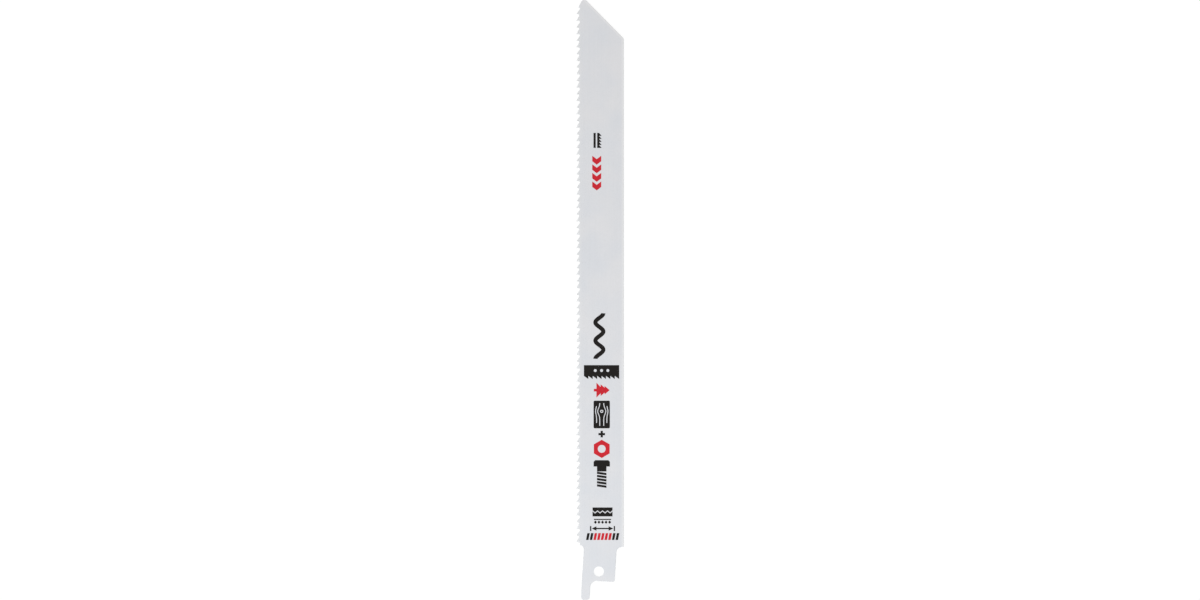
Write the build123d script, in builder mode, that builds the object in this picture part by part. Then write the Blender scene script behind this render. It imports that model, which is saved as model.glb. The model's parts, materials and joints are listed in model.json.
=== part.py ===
from build123d import *
from math import asin, atan2, ceil, cos, hypot, radians, tan
import os

# Reciprocating saw blade, punched and milled from one strip of steel.
# Sizes are in millimetres and angles in degrees. The origin is the centre of the tang hole,
# halfway through the steel. +Y runs to the nose, the teeth are on -X, the back edge is on +X,
# and the printed face looks along +Z.

# Steel
thickness = 0.9
blade_width = 18.0  # from the back edge to the tips of the tall teeth
middle_line = 0.45  # middle of that width, from the tang hole's centre
rim_chamfer = 0.1  # broken edge of the punched outline
corner_share = 0.92  # the most of a short side that a round corner takes up

# Nose: a long slope from the back edge, and a short cut on the toothed side
nose_reach = 217.95  # from the hole's centre to the nose's corner before it is rounded
nose_inset = 2.75  # the same corner, in from the tall tips
nose_slope = 44.6  # from the blade's long axis
nose_flank = 29.0  # from the blade's long axis
nose_radius = 1.25
slope_radius = 1.2  # where the slope leaves the back edge

# Tang, canted so that its end leans to the toothed side
tang_cant = 3.43
tang_width = 12.4  # the hole is on its middle line
tang_end = 3.6  # from the hole's centre to the end face, along the tang
tang_corner_radius = 0.8
hole_diameter = 3.9
lug_width = 3.27
lug_reach = 11.1  # from the hole's centre to the lug's end, along the tang
lug_corner_radius = 1.2
lug_root_radius = 2.4

# Shoulders between the tang and the blade, at these places along the blade
back_shoulder = 9.35
back_shoulder_radius = 2.15
back_heel_radius = 0.3
tooth_shoulder = 10.08
tooth_shoulder_radius = 1.7

# Teeth, ten to the inch: their rake faces look at the tang and stand square to the blade
tooth_pitch = 2.54
first_tooth = 11.13  # from the hole's centre to the first rake face, along the blade
short_tooth_drop = 0.1  # every second tooth ends this far inside the tall tips
deep_gullet = 1.38  # below the tall tips, under the rake face of each tall tooth
shallow_gullet = 1.08  # below the tall tips, under the rake face of each short tooth
gullet_radius = 0.52

# Set: tall teeth bend away from the printed face and short teeth bend towards it
set_angle = 14.0
set_radius = 2.0  # of the bend, at mid-thickness
set_root = 0.1  # the bend starts this far outside the shallow gullets

half_thickness = thickness / 2
back_edge = middle_line + blade_width / 2
tip_line = middle_line - blade_width / 2
bend_line = tip_line + shallow_gullet - set_root
heel_floor = tip_line + deep_gullet


# A point given across and along the canted tang, in the blade's frame
def on_tang(across, along):
    return Vector(across, along).rotate(Axis.Z, -tang_cant)


# Where a side of the tang crosses a shoulder: side is 1 for the back, -1 for the toothed side
def shoulder_corner(side, level):
    half_width = tang_width / 2 / cos(radians(tang_cant))
    return Vector(side * half_width + level * tan(radians(tang_cant)), level)


# The tip of a tooth: even numbers are tall teeth, odd numbers are short ones
def tip(index):
    across = tip_line + short_tooth_drop * (index % 2)
    return Vector(across, first_tooth + tooth_pitch * index)


# The corner that a gullet's round floor fills, under the rake face of one tooth.
# The back of the tooth before it runs straight from its tip and meets the floor smoothly.
def gullet_corner(index):
    back_tip = tip(index - 1)
    floor = tip_line + (shallow_gullet if index % 2 else deep_gullet)
    across = floor - gullet_radius - back_tip.X
    along = tooth_pitch - gullet_radius
    back_angle = atan2(across, along) + asin(gullet_radius / hypot(across, along))
    return Vector(back_tip.X + tooth_pitch * tan(back_angle), tip(index).Y)


# Before milling, the toothed side of the punched blank stands a little outside the tips
uncut_edge = tip_line - gullet_radius
nose = Vector(tip_line + nose_inset, nose_reach)
slope_start = nose_reach - (back_edge - nose.X) / tan(radians(nose_slope))
flank_start = nose_reach - (nose.X - uncut_edge) / tan(radians(nose_flank))

# The corners between tang and shoulders are as round as the shoulders have room for
lug_inner = lug_width - tang_width / 2
lug_radius = min(lug_corner_radius, corner_share * lug_width / 2)
back_corner = shoulder_corner(1, back_shoulder)
back_room = corner_share * (back_edge - back_heel_radius - back_corner.X)
tooth_corner = shoulder_corner(-1, tooth_shoulder)
tooth_room = corner_share * (tooth_corner.X - uncut_edge)

# Outline of the blank: each corner with its radius, from the lug round to the toothed side
blank_corners = [
    (on_tang(-tang_width / 2, -lug_reach), lug_radius),
    (on_tang(lug_inner, -lug_reach), lug_radius),
    (on_tang(lug_inner, -tang_end), lug_root_radius),
    (on_tang(tang_width / 2, -tang_end), tang_corner_radius),
    (back_corner, min(back_shoulder_radius, back_room)),
    (Vector(back_edge, back_shoulder), back_heel_radius),
    (Vector(back_edge, slope_start), slope_radius),
    (nose, nose_radius),
    (Vector(uncut_edge, flank_start), 0),
    (Vector(uncut_edge, tooth_shoulder), 0),
    (tooth_corner, min(tooth_shoulder_radius, tooth_room)),
]

# The milled edge has one gullet under each tooth, and a straight relief under the first one
last_tooth = ceil((nose_reach - first_tooth) / tooth_pitch)
relief_start = (heel_floor, tooth_shoulder - tooth_shoulder_radius)
waste_side = uncut_edge - gullet_radius

with BuildSketch() as outline:
    with BuildLine():
        FilletPolyline(
            *[point for point, radius in blank_corners],
            radius=[radius for point, radius in blank_corners],
            close=True,
        )
    make_face()
    with BuildLine():
        FilletPolyline(relief_start, (heel_floor, first_tooth), tip(0), radius=gullet_radius)
        for index in range(1, last_tooth + 1):
            FilletPolyline(tip(index - 1), gullet_corner(index), tip(index), radius=gullet_radius)
        Polyline(
            tip(last_tooth),
            (waste_side, tip(last_tooth).Y),
            (waste_side, relief_start[1]),
            relief_start,
        )
    make_face(mode=Mode.SUBTRACT)

# The bend line parts the flat steel from the tips that are set
bend_plane = Plane.YZ.offset(bend_line)
with BuildSketch() as flat_steel:
    add(outline.sketch)
    split(bisect_by=bend_plane, keep=Keep.TOP)
with BuildSketch() as tooth_steel:
    add(outline.sketch)
    split(bisect_by=bend_plane, keep=Keep.BOTTOM)
teeth = tooth_steel.faces().sort_by(Axis.Y)


# One row of set teeth, cut from steel that curves away at the bend line.
# side is 1 for teeth that bend towards the printed face and -1 for the others.
def set_row(row_teeth, side):
    room = blade_width / 2  # more than a tooth needs, across and up
    bent_plane = Plane(origin=(0, 0, 0), x_dir=(1, 0, 0), z_dir=(0, -side, 0))
    with BuildPart() as row:
        extrude(row_teeth, amount=room, both=True)
        with BuildSketch(bent_plane):
            with BuildLine():
                inner_bend = JernArc(
                    start=(bend_line, half_thickness),
                    tangent=(-1, 0),
                    radius=set_radius - half_thickness,
                    arc_size=-set_angle,
                )
                outer_bend = JernArc(
                    start=(bend_line, -half_thickness),
                    tangent=(-1, 0),
                    radius=set_radius + half_thickness,
                    arc_size=-set_angle,
                )
                inner_run = Line(inner_bend @ 1, inner_bend @ 1 + inner_bend % 1 * room)
                outer_run = Line(outer_bend @ 1, outer_bend @ 1 + outer_bend % 1 * room)
                Line(inner_run @ 1, outer_run @ 1)
                Line(inner_bend @ 0, outer_bend @ 0)
            make_face()
        extrude(amount=nose_reach, both=True, mode=Mode.INTERSECT)
    return row.part


tall_row = set_row(teeth[0::2], -1)
short_row = set_row(teeth[1::2], 1)

# The rim runs smoothly from the heel, round the tang and up the back to the nose,
# so breaking the back edge breaks all of it
with BuildPart() as blade:
    extrude(flat_steel.sketch, amount=half_thickness, both=True)
    broad_faces = blade.faces().filter_by(Axis.Z)
    chamfer([face.edges().sort_by(SortBy.LENGTH)[-1] for face in broad_faces], rim_chamfer)
    Hole(hole_diameter / 2)
    add(tall_row)
    add(short_row)

blade.part.label = "blade"
os.makedirs("parts", exist_ok=True)
export_step(blade.part, "parts/blade.step")
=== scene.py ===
import json
import math

import bmesh
import bpy
from mathutils import Matrix, Vector


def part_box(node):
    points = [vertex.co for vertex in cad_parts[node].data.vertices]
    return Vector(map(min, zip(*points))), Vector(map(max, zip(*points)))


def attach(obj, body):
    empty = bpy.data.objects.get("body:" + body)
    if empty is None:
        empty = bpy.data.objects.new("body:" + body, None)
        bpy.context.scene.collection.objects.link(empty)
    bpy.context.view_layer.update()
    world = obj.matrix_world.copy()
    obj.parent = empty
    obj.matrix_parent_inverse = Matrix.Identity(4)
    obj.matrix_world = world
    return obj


# Reciprocating saw blade: one flat strip of steel, painted light grey and printed on one face,
# lying on a white studio floor. The dictionaries give lengths in millimetres and angles in degrees.

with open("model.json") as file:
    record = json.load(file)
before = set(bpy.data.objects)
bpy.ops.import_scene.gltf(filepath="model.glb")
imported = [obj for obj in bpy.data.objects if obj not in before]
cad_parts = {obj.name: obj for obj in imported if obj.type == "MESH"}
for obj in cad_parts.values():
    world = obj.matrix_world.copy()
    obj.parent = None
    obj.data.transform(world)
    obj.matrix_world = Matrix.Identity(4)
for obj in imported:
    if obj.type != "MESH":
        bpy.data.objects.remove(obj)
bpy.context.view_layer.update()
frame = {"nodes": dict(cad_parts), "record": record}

mm = 0.001
blade = frame["nodes"]["blade"]
bladeLow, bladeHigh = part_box("blade")  # the teeth are at the low x, and the back edge at the high x
mounts = {mount["name"]: Vector(mount["pos_m"]) for mount in frame["record"]["mounts"]}
printedFace = mounts["tang_face_front"].z  # lower than bladeHigh.z, because the teeth are set
fullTurn = 2 * math.pi
noiseLow, noiseMiddle, noiseHigh = 0.3, 0.5, 0.7  # where nearly all of a noise texture's levels lie


# One hex colour as Blender's linear numbers, by the curve of the sRGB standard
def hexColour(code):
    channels = [int(code[place : place + 2], 16) / 255 for place in (1, 3, 5)]
    linear = [c / 12.92 if c <= 0.04045 else ((c + 0.055) / 1.055) ** 2.4 for c in channels]
    return (*linear, 1.0)


# One node: inputs gives a socket its value, or the node or socket it is linked to. By number, Map
# Range has its value at 0 and its two ranges at 1 to 4, and Mix its factor at 0 and colours at 6 and 7.
def addNode(tree, kind, inputs=None, **settings):
    node = tree.nodes.new(kind)
    for setting, value in settings.items():
        setattr(node, setting, value)
    for socket, value in (inputs or {}).items():
        source = value.outputs[0] if isinstance(value, bpy.types.Node) else value
        if isinstance(source, bpy.types.NodeSocket):
            tree.links.new(source, node.inputs[socket])
        else:
            node.inputs[socket].default_value = source
    return node


def newMaterial(name):
    material = bpy.data.materials.new(name)
    material.use_nodes = True
    material.node_tree.nodes.clear()
    return material


# Camera: it looks straight down, with the tang hole where the photograph has it
photoView = {
    "pixels": (1200, 600),
    "pixelSize": 0.3798,  # on the blade's face
    "holeAt": (598.84, 571.56),  # in pixels from the top left corner
    "lens": 150.0,
    "sensor": 36.0,
    "clipStart": 10.0,
}


def makeCamera(view):
    wide, high = view["pixels"]
    holeRight, holeDown = view["holeAt"]
    pixel = view["pixelSize"] * mm
    lens = bpy.data.cameras.new("photoCamera")
    lens.lens = view["lens"]
    lens.sensor_width = view["sensor"]
    lens.clip_start = view["clipStart"] * mm
    camera = bpy.data.objects.new("photoCamera", lens)
    across = (wide / 2 - holeRight) * pixel
    along = (holeDown - high / 2) * pixel
    distance = wide * pixel * view["lens"] / view["sensor"]
    camera.location = (across, along, printedFace + distance)
    bpy.context.scene.collection.objects.link(camera)
    bpy.context.scene.camera = camera


makeCamera(photoView)
print("camera: over the blade, looking straight down")


# Paint: satin polyester enamel, sprayed on cold-rolled strip and baked. It gives a pale, slightly
# blue grey with a soft sheen, a fine orange peel and faint rolling lines along the blade. Painted
# highlights make it warmer and paler over the teeth, against the shade of the bent teeth, and in a
# line along the back edge and the nose's slope, where the rounded edge catches the light.
paint = {
    "body": "#DADADD",
    "warmBody": "#DDDBDC",
    "warmFrom": 0.35,  # the body turns warm between these levels of the mottling
    "warmTo": 0.65,
    # rim: a painted highlight, paler paint where the rounded edge along the back and the nose's slope
    # catches the light
    "rim": "#E3E1E1",
    "rimFrom": 0.45,  # the rim's line fades out between these distances from the edge
    "rimTo": 1.1,
    "cutFaces": "#D2D4D7",
    "cutUpTo": 0.3,  # up to this share of Z in its normal a face is a cut face,
    "broadFrom": 0.6,  # and from this share on it is a broad face
    # tips: a painted highlight, paler paint over the teeth that offsets the shade of the tall teeth bent
    # away from the face
    "tips": "#E1E0E0",
    "tipDepth": 2.8,  # the tips' colour fades out this far from the tall teeth's tips
    "roughness": (0.38, 0.46),
    "ior": 1.5,
    "mottleSize": 14.0,
    "mottleShade": 0.07,  # each shade is the share of the colour between a pattern's extremes
    "peelSize": 0.85,
    # peelShade: painted shade and light, the colour paler on the orange peel's bumps and darker between
    # them
    "peelShade": 0.035,
    "peelHeight": 0.012,
    "rollingWidth": 0.55,  # the real lines are about 0.03 apart, and are drawn coarser so that they show
    "rollingRun": 35.0,
    "rollingShade": 0.045,
    "rollingHeight": 0.004,
    "cutWidth": 0.15,  # the real lines are about 0.03 apart too
    "cutRun": 3.0,
    "cutShade": 0.22,
    "cutHeight": 0.02,
    "dustSpacing": 8.0,
    "dustSize": 0.13,
    "dustCore": 1 / 3,  # share of a speck's size that stands at its full height
    "dustShade": -0.05,
    "dustHeight": 0.01,
    "noseReach": 217.95,  # the nose's corner before it is rounded, as in the part's source
    "noseInset": 2.75,
    "noseSlope": 44.6,
}


def makePaint(look):
    material = newMaterial("satinEnamelOnSteel")
    tree = material.node_tree
    place = addNode(tree, "ShaderNodeTexCoord").outputs["Object"]
    axes = addNode(tree, "ShaderNodeSeparateXYZ", {0: place}).outputs
    normal = addNode(tree, "ShaderNodeNewGeometry").outputs["Normal"]
    upward = addNode(tree, "ShaderNodeSeparateXYZ", {0: normal}).outputs["Z"]

    # Distance to the back edge or to the nose's slope, whichever is nearer, which places the painted
    # highlight of the rounded edge
    slope = math.radians(look["noseSlope"])
    outwards = Vector((math.cos(slope), math.sin(slope), 0))
    corner = Vector((bladeLow.x + look["noseInset"] * mm, look["noseReach"] * mm, 0))
    reach = addNode(tree, "ShaderNodeVectorMath", {0: place, 1: outwards}, operation="DOT_PRODUCT")
    toSlope = addNode(
        tree,
        "ShaderNodeMath",
        {0: outwards.dot(corner), 1: reach.outputs["Value"]},
        operation="SUBTRACT",
    )
    toBack = addNode(tree, "ShaderNodeMath", {0: bladeHigh.x, 1: axes["X"]}, operation="SUBTRACT")
    inside = addNode(tree, "ShaderNodeMath", {0: toBack, 1: toSlope}, operation="MINIMUM")
    rimHighlightShare = addNode(
        tree,
        "ShaderNodeMapRange",
        {0: inside, 1: look["rimFrom"] * mm, 2: look["rimTo"] * mm, 3: 1.0, 4: 0.0},
        interpolation_type="SMOOTHSTEP",
    )
    # Painted highlight over the teeth, against the shade that the bent teeth take
    tipHighlightShare = addNode(
        tree,
        "ShaderNodeMapRange",
        {0: axes["X"], 1: bladeLow.x, 2: bladeLow.x + look["tipDepth"] * mm, 3: 1.0, 4: 0.0},
        interpolation_type="SMOOTHSTEP",
    )
    flatness = addNode(tree, "ShaderNodeMath", {0: upward}, operation="ABSOLUTE")
    cutShare = addNode(
        tree,
        "ShaderNodeMapRange",
        {0: flatness, 1: look["cutUpTo"], 2: look["broadFrom"], 3: 1.0, 4: 0.0},
    )

    # Patterns: mottling, orange peel, rolling lines along the blade, cutting lines through its
    # thickness on the cut faces alone, and a few specks of dust under the paint
    mottling = addNode(
        tree,
        "ShaderNodeTexNoise",
        {"Vector": place, "Scale": 1 / (look["mottleSize"] * mm)},
    )
    peel = addNode(tree, "ShaderNodeTexNoise", {"Vector": place, "Scale": 1 / (look["peelSize"] * mm)})
    drawnOut = addNode(
        tree,
        "ShaderNodeMapping",
        {"Vector": place, "Scale": (1.0, look["rollingWidth"] / look["rollingRun"], 1.0)},
    )
    rolling = addNode(
        tree,
        "ShaderNodeTexNoise",
        {"Vector": drawnOut, "Scale": 1 / (look["rollingWidth"] * mm)},
    )
    throughSteel = addNode(
        tree,
        "ShaderNodeMapping",
        {"Vector": place, "Scale": (1.0, 1.0, look["cutWidth"] / look["cutRun"])},
    )
    everywhere = addNode(
        tree,
        "ShaderNodeTexNoise",
        {"Vector": throughSteel, "Scale": 1 / (look["cutWidth"] * mm)},
    )
    evenly = addNode(tree, "ShaderNodeMath", {0: everywhere, 1: noiseMiddle}, operation="SUBTRACT")
    cutting = addNode(tree, "ShaderNodeMath", {0: evenly, 1: cutShare}, operation="MULTIPLY")
    specks = addNode(
        tree,
        "ShaderNodeTexVoronoi",
        {"Vector": place, "Scale": 1 / (look["dustSpacing"] * mm)},
        voronoi_dimensions="2D",
    )
    speckShare = look["dustSize"] / look["dustSpacing"]
    dust = addNode(
        tree,
        "ShaderNodeMapRange",
        {0: specks, 1: speckShare * look["dustCore"], 2: speckShare, 3: 1.0, 4: 0.0},
        interpolation_type="SMOOTHSTEP",
    )

    # Colour: the body's, and over it one layer after another, each with its own share; the rim's and the
    # tips' layers are painted highlights
    warmth = addNode(
        tree,
        "ShaderNodeMapRange",
        {0: mottling, 1: look["warmFrom"], 2: look["warmTo"]},
    )
    colour = hexColour(look["body"])
    layers = {"warmBody": warmth, "rim": rimHighlightShare, "cutFaces": cutShare, "tips": tipHighlightShare}
    for name, share in layers.items():
        layered = addNode(
            tree,
            "ShaderNodeMix",
            {0: share, 6: colour, 7: hexColour(look[name])},
            data_type="RGBA",
        )
        colour = layered.outputs[2]

    # Every pattern adds its own share to the shade and to the surface's height, in millimetres. The
    # shade starts lower by half of what the wide patterns add, so that on average it stays at 1.
    # The peel's share of the shade is painted shade and light of its bumps
    patterns = {"mottle": mottling, "peel": peel, "rolling": rolling, "cut": cutting, "dust": dust}
    shade = 1 - (look["mottleShade"] + look["peelShade"] + look["rollingShade"]) / 2
    height = 0.0
    for name, pattern in patterns.items():
        shade = addNode(
            tree,
            "ShaderNodeMath",
            {0: pattern, 1: look[name + "Shade"], 2: shade},
            operation="MULTIPLY_ADD",
        )
        if name + "Height" in look:
            height = addNode(
                tree,
                "ShaderNodeMath",
                {0: pattern, 1: look[name + "Height"], 2: height},
                operation="MULTIPLY_ADD",
            )
    shaded = addNode(tree, "ShaderNodeVectorMath", {0: colour, 3: shade}, operation="SCALE")
    relief = addNode(tree, "ShaderNodeBump", {"Strength": 1.0, "Distance": mm, "Height": height})
    smooth, rough = look["roughness"]
    sheen = addNode(
        tree,
        "ShaderNodeMapRange",
        {0: peel, 1: noiseLow, 2: noiseHigh, 3: smooth, 4: rough},
    )
    surface = addNode(
        tree,
        "ShaderNodeBsdfPrincipled",
        {"Base Color": shaded, "Roughness": sheen, "IOR": look["ior"], "Normal": relief},
    )
    addNode(tree, "ShaderNodeOutputMaterial", {"Surface": surface})
    return material


blade.data.materials.clear()
blade.data.materials.append(makePaint(paint))
print("paint: on the packed blade")


# Print: two-part ink, squeezed through a fine mesh and cured. It gives dense flat marks, black or
# a clear red, a little duller than the paint, with a trace of the mesh and a few tiny pinholes.
ink = {
    "black": "#15110F",
    "red": "#CD2631",
    "pinhole": "#B9BABD",
    "roughness": 0.6,
    "ior": 1.5,
    "gloss": 0.12,  # specular level
    "meshPitch": 0.3,  # the real threads are about 0.1 apart, and are drawn coarser so that they show
    "meshHeight": 0.002,
    "mottleSize": 1.2,
    "mottle": 0.08,
    "holeSpacing": 4.5,
    "holeSize": 0.05,
    "holeCore": 0.5,  # share of a pinhole's size that is wholly bare
    "proud": 0.015,  # of the face
    "depth": 0.025,  # from its top to its foot, which is in the paint
}


def makeInk(name, colour, look):
    material = newMaterial(name)
    tree = material.node_tree
    place = addNode(tree, "ShaderNodeTexCoord").outputs["Object"]
    mottling = addNode(
        tree,
        "ShaderNodeTexNoise",
        {"Vector": place, "Scale": 1 / (look["mottleSize"] * mm)},
    )
    shade = addNode(
        tree,
        "ShaderNodeMapRange",
        {0: mottling, 1: noiseLow, 2: noiseHigh, 3: 1 - look["mottle"], 4: 1 + look["mottle"]},
    )
    mottled = addNode(
        tree,
        "ShaderNodeVectorMath",
        {0: hexColour(colour)[:3], 3: shade},
        operation="SCALE",
    )
    spots = addNode(
        tree,
        "ShaderNodeTexVoronoi",
        {"Vector": place, "Scale": 1 / (look["holeSpacing"] * mm)},
        voronoi_dimensions="2D",
    )
    holeShare = look["holeSize"] / look["holeSpacing"]
    bare = addNode(
        tree,
        "ShaderNodeMapRange",
        {0: spots, 1: holeShare * look["holeCore"], 2: holeShare, 3: 1.0, 4: 0.0},
    )
    holed = addNode(
        tree,
        "ShaderNodeMix",
        {0: bare, 6: mottled, 7: hexColour(look["pinhole"])},
        data_type="RGBA",
    )
    threads = addNode(
        tree,
        "ShaderNodeVectorMath",
        {0: place, 3: fullTurn / (look["meshPitch"] * mm)},
        operation="SCALE",
    )
    weave = addNode(tree, "ShaderNodeVectorMath", {0: threads}, operation="SINE")
    waves = addNode(tree, "ShaderNodeSeparateXYZ", {0: weave}).outputs
    knots = addNode(tree, "ShaderNodeMath", {0: waves["X"], 1: waves["Y"]}, operation="MULTIPLY")
    relief = addNode(
        tree,
        "ShaderNodeBump",
        {"Strength": 1.0, "Distance": look["meshHeight"] * mm, "Height": knots},
    )
    surface = addNode(
        tree,
        "ShaderNodeBsdfPrincipled",
        {
            "Base Color": holed.outputs[2],
            "Roughness": look["roughness"],
            "IOR": look["ior"],
            "Specular IOR Level": look["gloss"],
            "Normal": relief,
        },
    )
    addNode(tree, "ShaderNodeOutputMaterial", {"Surface": surface})
    return material


inks = {
    "black_print": makeInk("curedInkBlack", ink["black"], ink),
    "red_print": makeInk("curedInkRed", ink["red"], ink),
}

# A mark is drawn flat in millimetres round its own origin, reading along +X, and then turned into place
towardsTang = -90.0
noseUp = 0.0
tangUp = 180.0

circleSteps = 48
cornerSteps = 8
doublesWithin = 0.0005  # points nearer than this become one


def boxLoop(length, height, centre=(0.0, 0.0)):
    u, v = centre
    right, top = length / 2, height / 2
    return [(u - right, v - top), (u + right, v - top), (u + right, v + top), (u - right, v + top)]


def arcLoop(radius, centre=(0.0, 0.0), start=0.0, sweep=360.0, steps=circleSteps):
    last = steps if sweep < 360.0 else steps - 1
    angles = [math.radians(start + sweep * step / steps) for step in range(last + 1)]
    return [(centre[0] + radius * math.cos(a), centre[1] + radius * math.sin(a)) for a in angles]


def roundedLoop(length, height, radius, centre=(0.0, 0.0)):
    right, top = length / 2 - radius, height / 2 - radius
    corners = [(right, top), (-right, top), (-right, -top), (right, -top)]
    loop = []
    for quarter, (u, v) in enumerate(corners):
        loop += arcLoop(radius, (centre[0] + u, centre[1] + v), 90.0 * quarter, 90.0, cornerSteps)
    return loop


# A bar whose top stands to the right of its foot by lean
def leaningLoop(length, height, lean):
    return [(u + lean * v / height, v) for u, v in boxLoop(length, height)]


# A strip with a straight back and saw teeth, which slope one way and stand upright the other
def toothedLoop(length, teeth, back, floor, tip):
    half, pitch = length / 2, length / teeth
    loop = [(half, back), (-half, back), (-half, floor)]
    for tooth in range(1, teeth):
        loop += [(pitch * tooth - half, tip), (pitch * tooth - half, floor)]
    return loop + [(half, tip)]


# A flat layer of ink inside the given loops; a loop inside another one is a hole
def flatMark(name, loops):
    drawing = bpy.data.curves.new(name, "CURVE")
    drawing.dimensions = "2D"
    drawing.fill_mode = "BOTH"
    drawing.extrude = ink["depth"] / 2
    for loop in loops:
        spline = drawing.splines.new("POLY")
        spline.points.add(len(loop) - 1)
        for point, (u, v) in zip(spline.points, loop):
            point.co = (u, v, 0.0, 1.0)
        spline.use_cyclic_u = True
    drawn = bpy.data.objects.new(name + "Drawing", drawing)
    bpy.context.scene.collection.objects.link(drawn)
    graph = bpy.context.evaluated_depsgraph_get()
    mesh = bpy.data.meshes.new_from_object(drawn.evaluated_get(graph), depsgraph=graph)
    bpy.data.objects.remove(drawn)
    mark = bpy.data.objects.new(name, mesh)
    bpy.context.scene.collection.objects.link(mark)
    return mark


# Gives a node tree its named inputs, and returns the sockets that they feed
def treeInputs(tree, sockets):
    for name, kind in sockets.items():
        tree.interface.new_socket(name, in_out="INPUT", socket_type=kind)
    tree.interface.new_socket("Mark", in_out="OUTPUT", socket_type="NodeSocketGeometry")
    return addNode(tree, "NodeGroupInput").outputs


# Runs a tree on a mark and keeps its result as a plain mesh
def bakeTree(mark, tree, values):
    modifier = mark.modifiers.new(tree.name, "NODES")
    modifier.node_group = tree
    for socket in tree.interface.items_tree:
        if socket.in_out == "INPUT" and socket.name in values:
            modifier[socket.identifier] = values[socket.name]
    graph = bpy.context.evaluated_depsgraph_get()
    mesh = bpy.data.meshes.new_from_object(mark.evaluated_get(graph), depsgraph=graph)
    mark.modifiers.remove(modifier)
    mark.data = mesh
    return mark


# Lays a mark on the printed face, closes its mesh, gives it its ink and hangs it under the root body
def layDown(mark, centre, turn, slot):
    height = printedFace / mm + ink["proud"] - ink["depth"] / 2
    shape = bmesh.new()
    shape.from_mesh(mark.data)
    bmesh.ops.remove_doubles(shape, verts=shape.verts, dist=doublesWithin)
    triangles = [face for face in shape.faces if len(face.verts) == 3]
    seams = [edge for edge in shape.edges if all(face in triangles for face in edge.link_faces)]
    bmesh.ops.beautify_fill(shape, faces=triangles, edges=seams)  # no slivers on the flat sides
    bmesh.ops.recalc_face_normals(shape, faces=shape.faces)
    for face in shape.faces:
        face.smooth = False
    place = Matrix.Translation((*centre, height)) @ Matrix.Rotation(math.radians(turn), 4, "Z")
    bmesh.ops.transform(shape, matrix=Matrix.Scale(mm, 4) @ place, verts=shape.verts)
    shape.to_mesh(mark.data)
    shape.free()
    mark.data.materials.clear()
    mark.data.materials.append(inks[slot])
    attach(mark, "root")


# Geometry Nodes: one motif repeated in a straight row, centred on the origin
def makeRowTree():
    tree = bpy.data.node_groups.new("printedRow", "GeometryNodeTree")
    given = treeInputs(
        tree,
        {
            "Motif": "NodeSocketGeometry",
            "Count": "NodeSocketInt",
            "Pitch": "NodeSocketFloat",
            "Ink": "NodeSocketMaterial",
        },
    )
    gaps = addNode(tree, "ShaderNodeMath", {0: given["Count"], 1: 1.0}, operation="SUBTRACT")
    span = addNode(tree, "ShaderNodeMath", {0: gaps, 1: given["Pitch"]}, operation="MULTIPLY")
    back = addNode(tree, "ShaderNodeMath", {0: span, 1: -0.5}, operation="MULTIPLY")
    start = addNode(tree, "ShaderNodeCombineXYZ", {"X": back})
    step = addNode(tree, "ShaderNodeCombineXYZ", {"X": given["Pitch"]})
    places = addNode(
        tree,
        "GeometryNodeMeshLine",
        {"Count": given["Count"], "Start Location": start, "Offset": step},
    )
    copies = addNode(
        tree,
        "GeometryNodeInstanceOnPoints",
        {"Points": places, "Instance": given["Motif"]},
    )
    row = addNode(tree, "GeometryNodeRealizeInstances", {0: copies})
    inked = addNode(tree, "GeometryNodeSetMaterial", {"Geometry": row, "Material": given["Ink"]})
    addNode(tree, "NodeGroupOutput", {0: inked})
    return tree


# Geometry Nodes: a ribbon that swings from side to side, the sign for a blade that bends
def makeWaveTree():
    tree = bpy.data.node_groups.new("flexWave", "GeometryNodeTree")
    given = treeInputs(
        tree,
        {
            "Length": "NodeSocketFloat",
            "Samples": "NodeSocketInt",
            "Waves": "NodeSocketFloat",
            "Swing": "NodeSocketFloat",
            "Stroke": "NodeSocketFloat",
            "Depth": "NodeSocketFloat",
            "Ink": "NodeSocketMaterial",
        },
    )
    half = addNode(tree, "ShaderNodeMath", {0: given["Length"], 1: 0.5}, operation="MULTIPLY")
    back = addNode(tree, "ShaderNodeMath", {0: given["Length"], 1: -0.5}, operation="MULTIPLY")
    start = addNode(tree, "ShaderNodeCombineXYZ", {"X": back})
    end = addNode(tree, "ShaderNodeCombineXYZ", {"X": half})
    line = addNode(tree, "GeometryNodeCurvePrimitiveLine", {"Start": start, "End": end})
    points = addNode(tree, "GeometryNodeResampleCurve", {"Curve": line, "Count": given["Samples"]})
    share = addNode(tree, "GeometryNodeSplineParameter").outputs["Factor"]
    sweep = addNode(tree, "ShaderNodeMath", {0: given["Waves"], 1: fullTurn}, operation="MULTIPLY")
    angle = addNode(tree, "ShaderNodeMath", {0: sweep, 1: share}, operation="MULTIPLY")
    cosine = addNode(tree, "ShaderNodeMath", {0: angle}, operation="COSINE")
    sideways = addNode(tree, "ShaderNodeMath", {0: cosine, 1: given["Swing"]}, operation="MULTIPLY")
    shift = addNode(tree, "ShaderNodeCombineXYZ", {"Y": sideways})
    wave = addNode(tree, "GeometryNodeSetPosition", {"Geometry": points, "Offset": shift})
    upright = addNode(tree, "GeometryNodeSetCurveNormal", {"Curve": wave}, mode="Z_UP")
    section = addNode(
        tree,
        "GeometryNodeCurvePrimitiveQuadrilateral",
        {"Width": given["Stroke"], "Height": given["Depth"]},
    )
    ribbon = addNode(
        tree,
        "GeometryNodeCurveToMesh",
        {"Curve": upright, "Profile Curve": section, "Fill Caps": True},
    )
    solid = addNode(tree, "GeometryNodeRealizeInstances", {0: ribbon})
    inked = addNode(tree, "GeometryNodeSetMaterial", {"Geometry": solid, "Material": given["Ink"]})
    addNode(tree, "NodeGroupOutput", {0: inked})
    return tree


rowTree = makeRowTree()
waveTree = makeWaveTree()


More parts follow.
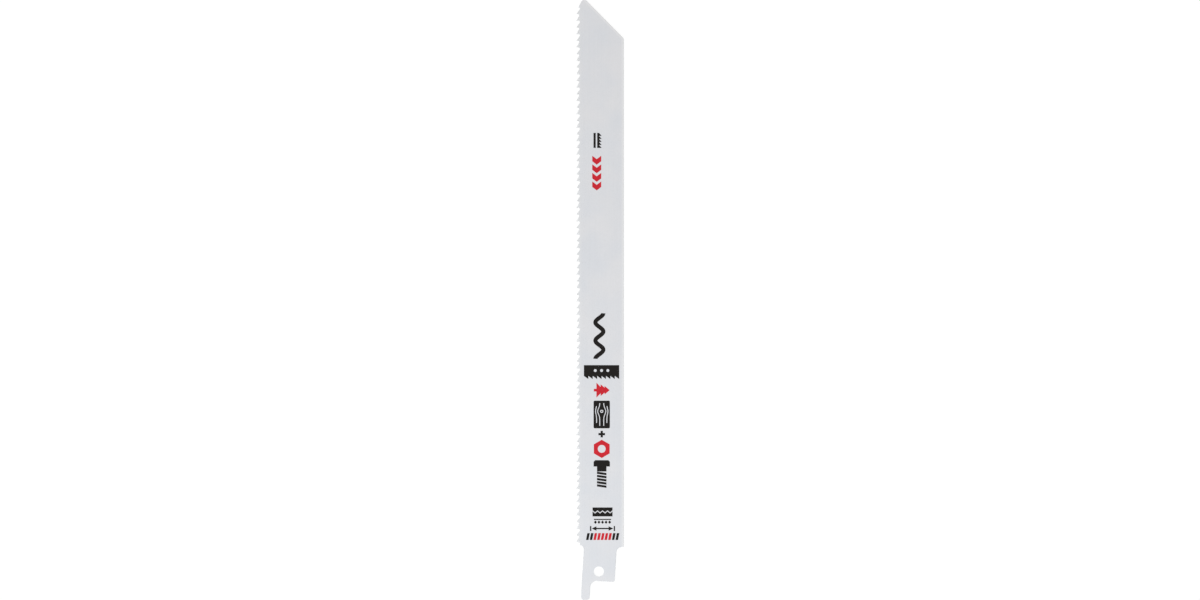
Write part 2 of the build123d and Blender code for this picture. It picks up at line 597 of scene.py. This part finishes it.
def printedRow(name, motif, count, pitch, slot):
    mark = flatMark(name, motif)
    return bakeTree(mark, rowTree, {"Count": count, "Pitch": pitch, "Ink": inks[slot]})


# Near the nose: a strip with saw teeth over a rule
toothSign = {
    "centre": (-0.9, 163.75),
    "length": 5.7,
    "teeth": 5,
    "toothHeight": 1.0,
    "backHeight": 0.7,
    "gap": 0.55,
    "ruleHeight": 0.85,
}


def printToothSign(sign):
    across, along = sign["centre"]
    back = sign["gap"] / 2
    floor = back + sign["backHeight"]
    strip = toothedLoop(sign["length"], sign["teeth"], back, floor, floor + sign["toothHeight"])
    layDown(flatMark("markTeeth", [strip]), (across, along), towardsTang, "black_print")
    rule = flatMark("markRule", [boxLoop(sign["length"], sign["ruleHeight"])])
    layDown(rule, (across - back - sign["ruleHeight"] / 2, along), towardsTang, "black_print")


printToothSign(toothSign)

# Below it: red chevrons that point the way the blade cuts, towards the tang
pullSign = {
    "centre": (-0.8, 151.35),
    "count": 4,
    "pitch": 3.25,
    "height": 3.4,
    "point": 1.3,
    "stroke": 2.1,
}


def printPullSign(sign):
    half, point, stroke = sign["height"] / 2, sign["point"], sign["stroke"]
    back = -(point + stroke) / 2
    chevron = [
        (back, -half),
        (back + stroke, -half),
        (back + stroke + point, 0.0),
        (back + stroke, half),
        (back, half),
        (back + point, 0.0),
    ]
    row = printedRow("markPull", [chevron], sign["count"], sign["pitch"], "red_print")
    layDown(row, sign["centre"], towardsTang, "red_print")


printPullSign(pullSign)

# Middle of the blade: a wave, for steel that bends
flexSign = {
    "centre": (0.2, 89.45),
    "length": 17.3,
    "samples": 161,
    "waves": 2.5,
    "swing": 1.5,
    "stroke": 1.6,
}


def printFlexSign(sign):
    wave = bpy.data.objects.new("markFlex", bpy.data.meshes.new("markFlex"))
    bpy.context.scene.collection.objects.link(wave)
    values = {
        "Length": sign["length"],
        "Samples": sign["samples"],
        "Waves": sign["waves"],
        "Swing": sign["swing"],
        "Stroke": sign["stroke"],
        "Depth": ink["depth"],
        "Ink": inks["black_print"],
    }
    bakeTree(wave, waveTree, values)
    layDown(wave, sign["centre"], towardsTang, "black_print")


printFlexSign(flexSign)

# Across the blade: a black band with a toothed side and three bare dots
bandSign = {
    "centre": (1.03, 75.75),
    "length": 13.4,
    "height": 5.3,
    "teeth": 8,
    "toothDepth": 1.2,
    "dots": 3,
    "dotRadius": 0.55,
    "dotPitch": 2.4,
}


def printBandSign(sign):
    top = sign["height"] / 2
    floor = sign["toothDepth"] - top
    loops = [toothedLoop(sign["length"], sign["teeth"], top, floor, -top)]
    middle = (top + floor) / 2
    for dot in range(sign["dots"]):
        shift = (dot - (sign["dots"] - 1) / 2) * sign["dotPitch"]
        loops.append(arcLoop(sign["dotRadius"], (shift, middle)))
    layDown(flatMark("markBand", loops), sign["centre"], noseUp, "black_print")


printBandSign(bandSign)

# What it cuts, first half: a red fir tree and a black plank
treeSign = {
    "centre": (1.1, 68.9),
    "tiers": ((2.8, -2.0), (2.2, -0.4), (1.6, 1.1)),  # half width and level of each tier's foot
    "waist": 0.42,  # share of a tier's half width that is left where the next tier starts
    "top": 3.0,
    "bottom": -3.0,
    "trunk": 0.5,
}


def printTreeSign(sign):
    tiers, trunk = sign["tiers"], sign["trunk"]
    right = [(trunk, sign["bottom"]), (trunk, tiers[0][1])]
    for tier, (width, level) in enumerate(tiers):
        if tier:
            right.append((tiers[tier - 1][0] * sign["waist"], level))
        right.append((width, level))
    left = [(-u, v) for u, v in reversed(right)]
    loop = right + [(0.0, sign["top"])] + left
    layDown(flatMark("markTree", [loop]), sign["centre"], towardsTang, "red_print")


printTreeSign(treeSign)

plankSign = {
    "centre": (1.1, 59.65),
    "length": 10.5,
    "height": 6.2,
    "corner": 0.5,
    "grainLines": {0.75: (0.8, 4.3), 1.95: (0.4, 3.2)},  # level: bow round the knot, half length
    "grainWidth": 0.32,
    "grainSteps": 40,
    "knotAt": -1.2,
    "knotSpread": 1.5,
    "knotRadius": 0.6,
    "heartRadius": 0.27,
}


# The grain runs along the plank and bows out round one knot
def printPlankSign(sign):
    loops = [roundedLoop(sign["length"], sign["height"], sign["corner"])]
    steps = sign["grainSteps"]
    for level, (bow, reach) in sign["grainLines"].items():
        for side in (-1, 1):
            upper, lower = [], []
            for step in range(steps + 1):
                u = (2 * step / steps - 1) * reach
                v = side * (level + bow * math.exp(-(((u - sign["knotAt"]) / sign["knotSpread"]) ** 2)))
                upper.append((u, v + sign["grainWidth"] / 2))
                lower.append((u, v - sign["grainWidth"] / 2))
            loops.append(lower + upper[::-1])
    loops.append(arcLoop(sign["knotRadius"], (sign["knotAt"], 0.0)))
    loops.append(arcLoop(sign["heartRadius"], (sign["knotAt"], 0.0)))
    layDown(flatMark("markPlank", loops), sign["centre"], towardsTang, "black_print")


printPlankSign(plankSign)

# Between the halves: a small plus
plusSign = {"centre": (1.1, 52.2), "size": 2.5, "stroke": 0.85}


def printPlusSign(sign):
    long, short = sign["size"] / 2, sign["stroke"] / 2
    quarter = [(short, short), (short, long), (-short, long)]
    loop = []
    for turn in range(4):
        corner = Matrix.Rotation(math.radians(90 * turn), 2)
        loop += [tuple(corner @ Vector(point)) for point in quarter]
    layDown(flatMark("markPlus", [loop]), sign["centre"], towardsTang, "black_print")


printPlusSign(plusSign)

# What it cuts, second half: a red nut and a black bolt
nutSign = {"centre": (1.1, 46.6), "sides": 6, "acrossFlats": 6.0, "bore": 1.5}


def printNutSign(sign):
    corner = sign["acrossFlats"] / 2 / math.cos(math.pi / sign["sides"])
    loops = [arcLoop(corner, steps=sign["sides"]), arcLoop(sign["bore"])]
    layDown(flatMark("markNut", loops), sign["centre"], towardsTang, "red_print")


printNutSign(nutSign)

boltSign = {
    "headAt": (1.1, 42.3),
    "headLength": 2.4,
    "headHeight": 6.2,
    "headChamfer": 0.6,
    "neckLength": 1.9,
    "shankHeight": 3.6,
    "threads": 5,
    "threadPitch": 1.2,
    "threadWidth": 0.85,
    "threadLean": 0.5,
}


def printBoltSign(sign):
    across, along = sign["headAt"]
    seat = sign["headLength"]
    neck = seat + sign["neckLength"]
    wide, narrow, chamfer = sign["headHeight"] / 2, sign["shankHeight"] / 2, sign["headChamfer"]
    below = [(0.0, chamfer - wide), (chamfer, -wide), (seat, -wide), (seat, -narrow), (neck, -narrow)]
    above = [(u, -v) for u, v in reversed(below)]
    layDown(flatMark("markBolt", [below + above]), (across, along), towardsTang, "black_print")
    thread = leaningLoop(sign["threadWidth"], sign["shankHeight"], sign["threadLean"])
    row = printedRow("markThread", [thread], sign["threads"], sign["threadPitch"], "black_print")
    threadMiddle = neck + sign["threads"] * sign["threadPitch"] / 2 + sign["threadLean"] / 4
    layDown(row, (across, along - threadMiddle), towardsTang, "black_print")


printBoltSign(boltSign)

# Next to the tang, read with the tang up: two steels joined by teeth, diamonds, a length, a code row
steelSign = {
    "centre": (1.4, 22.65),
    "length": 7.6,
    "height": 3.4,
    "teeth": 4,
    "gap": 0.42,
    "toothDepth": 0.8,
}


def printSteelSign(sign):
    half, top = sign["length"] / 2, sign["height"] / 2
    pitch = sign["length"] / sign["teeth"]
    low, high = -sign["toothDepth"] / 2, sign["toothDepth"] / 2
    joint = [(-half, low)]
    for tooth in range(sign["teeth"]):
        joint += [(-half + pitch * (tooth + 0.5), high), (-half + pitch * (tooth + 1), low)]
    shift = sign["gap"] / 2
    upper = [(half, top), (-half, top)] + [(u, v + shift) for u, v in joint]
    lower = [(half, -top), (-half, -top)] + [(u, v - shift) for u, v in joint]
    layDown(flatMark("markSteels", [upper, lower]), sign["centre"], tangUp, "black_print")


printSteelSign(steelSign)

diamondSign = {
    "centre": (1.4, 19.05),
    "count": 5,
    "pitch": 1.35,
    "width": 1.15,
    "height": 1.3,
    "gap": 0.2,
    "ruleHeight": 0.4,
}


def printDiamondSign(sign):
    across, along = sign["centre"]
    wide, high = sign["width"] / 2, sign["height"] / 2
    diamond = [(wide, 0.0), (0.0, high), (-wide, 0.0), (0.0, -high)]
    row = printedRow("markDiamonds", [diamond], sign["count"], sign["pitch"], "black_print")
    layDown(row, (across, along - (sign["gap"] + sign["ruleHeight"]) / 2), tangUp, "black_print")
    length = (sign["count"] - 1) * sign["pitch"] + sign["width"]
    rule = flatMark("markDiamondRule", [boxLoop(length, sign["ruleHeight"])])
    layDown(rule, (across, along + (sign["gap"] + sign["height"]) / 2), tangUp, "black_print")


printDiamondSign(diamondSign)

lengthSign = {
    "centre": (1.4, 16.35),
    "length": 9.5,
    "height": 1.9,
    "rule": 0.5,
    "head": 1.8,
    "headHeight": 1.7,
    "gap": 0.15,
}


def printLengthSign(sign):
    half, rule = sign["length"] / 2, sign["rule"] / 2
    point, wing = half - sign["rule"] - sign["gap"], sign["headHeight"] / 2
    neck = point - sign["head"]
    right = [(neck, -rule), (neck, -wing), (point, 0.0), (neck, wing), (neck, rule)]
    left = [(-u, -v) for u, v in right]
    stop = half - rule
    loops = [
        right + left,
        boxLoop(sign["rule"], sign["height"], (stop, 0.0)),
        boxLoop(sign["rule"], sign["height"], (-stop, 0.0)),
    ]
    layDown(flatMark("markLength", loops), sign["centre"], tangUp, "black_print")


printLengthSign(lengthSign)

codeSign = {
    "centre": (1.45, 13.3),
    "height": 2.6,
    "pitch": 1.4,
    "width": 0.95,
    "lean": 0.5,
    "outer": 2,
    "inner": 5,
}


def printCodeSign(sign):
    across, along = sign["centre"]
    bar = leaningLoop(sign["width"], sign["height"], sign["lean"])
    aside = (sign["inner"] + sign["outer"]) / 2 * sign["pitch"]
    groups = {
        "markCodeStart": (sign["outer"], aside, "black_print"),
        "markCodeMiddle": (sign["inner"], 0.0, "red_print"),
        "markCodeEnd": (sign["outer"], -aside, "black_print"),
    }
    for name, (count, shift, slot) in groups.items():
        row = printedRow(name, [bar], count, sign["pitch"], slot)
        layDown(row, (across + shift, along), tangUp, slot)


printCodeSign(codeSign)
print("print: signs laid on the face")

# Floor: matt white photographer's paper. It gives a plain white ground that still takes a soft shadow.
paper = {
    "size": 6000.0,
    "colour": "#EAEAEA",
    "whiteShare": 0.85,  # of plain white where the camera sees it, which keeps its shadow faint
    "white": 1.07,  # over 1 by what the matt share falls short of it, so that both together are white
    "below": 0.005,  # clear of the lowest tooth tips
}


# 1 where the camera looks at something straight, in a reflection or through glass, and otherwise 0
def seenDirectly(tree):
    rays = addNode(tree, "ShaderNodeLightPath").outputs
    mirrored = addNode(
        tree,
        "ShaderNodeMath",
        {0: rays["Is Glossy Ray"], 1: rays["Is Transmission Ray"]},
        operation="MAXIMUM",
    )
    return addNode(tree, "ShaderNodeMath", {0: rays["Is Camera Ray"], 1: mirrored}, operation="MAXIMUM")


def makeFloor(look):
    size, height = look["size"] * mm, bladeLow.z - look["below"] * mm
    middle = (bladeLow + bladeHigh) / 2
    mesh = bpy.data.meshes.new("paperFloor")
    corners = boxLoop(size, size, (middle.x, middle.y))
    mesh.from_pydata([(x, y, height) for x, y in corners], [], [(0, 1, 2, 3)])
    floor = bpy.data.objects.new("paperFloor", mesh)
    bpy.context.scene.collection.objects.link(floor)
    material = newMaterial("mattWhitePaper")
    tree = material.node_tree
    matt = addNode(tree, "ShaderNodeBsdfDiffuse", {"Color": hexColour(look["colour"])})
    white = addNode(tree, "ShaderNodeEmission", {"Strength": look["white"]})
    seen = seenDirectly(tree)
    share = addNode(tree, "ShaderNodeMath", {0: seen, 1: look["whiteShare"]}, operation="MULTIPLY")
    both = addNode(tree, "ShaderNodeMixShader", {0: share, 1: matt, 2: white})
    addNode(tree, "ShaderNodeOutputMaterial", {"Surface": both})
    mesh.materials.append(material)


makeFloor(paper)

# Room: white all round, and dimmer as a light than as a background
room = {"colour": "#FFFFFF", "light": 0.47, "background": 1.0}


def makeRoom(look):
    world = bpy.data.worlds.new("whiteRoom")
    world.use_nodes = True
    tree = world.node_tree
    tree.nodes.clear()
    strength = addNode(
        tree,
        "ShaderNodeMapRange",
        {0: seenDirectly(tree), 1: 0.0, 2: 1.0, 3: look["light"], 4: look["background"]},
    )
    walls = addNode(
        tree,
        "ShaderNodeBackground",
        {"Color": hexColour(look["colour"]), "Strength": strength},
    )
    addNode(tree, "ShaderNodeOutputWorld", {"Surface": walls})
    bpy.context.scene.world = world


makeRoom(room)

# Softboxes, both on the toothed side: the nearer one hangs over the tang, which makes the blade a
# little paler there
softboxes = {
    "tangSoftbox": {"at": (-100, -260, 560), "size": (450, 350), "watts": 1.95, "colour": "#F0F9FF"},
    "wideSoftbox": {"at": (-500, 450, 1000), "size": (800, 800), "watts": 3.6, "colour": "#FFFFFF"},
}


def hangSoftbox(name, lamp):
    light = bpy.data.lights.new(name, "AREA")
    light.shape = "RECTANGLE"
    light.size, light.size_y = (side * mm for side in lamp["size"])
    light.energy = lamp["watts"]
    light.color = hexColour(lamp["colour"])[:3]
    softbox = bpy.data.objects.new(name, light)
    softbox.location = Vector(lamp["at"]) * mm
    aim = (bladeLow + bladeHigh) / 2 - softbox.location
    softbox.rotation_euler = aim.to_track_quat("-Z", "Y").to_euler()
    bpy.context.scene.collection.objects.link(softbox)


for softboxName, softbox in softboxes.items():
    hangSoftbox(softboxName, softbox)
bpy.context.scene.view_settings.view_transform = "Standard"
print("studio: paper floor, white room and two softboxes")
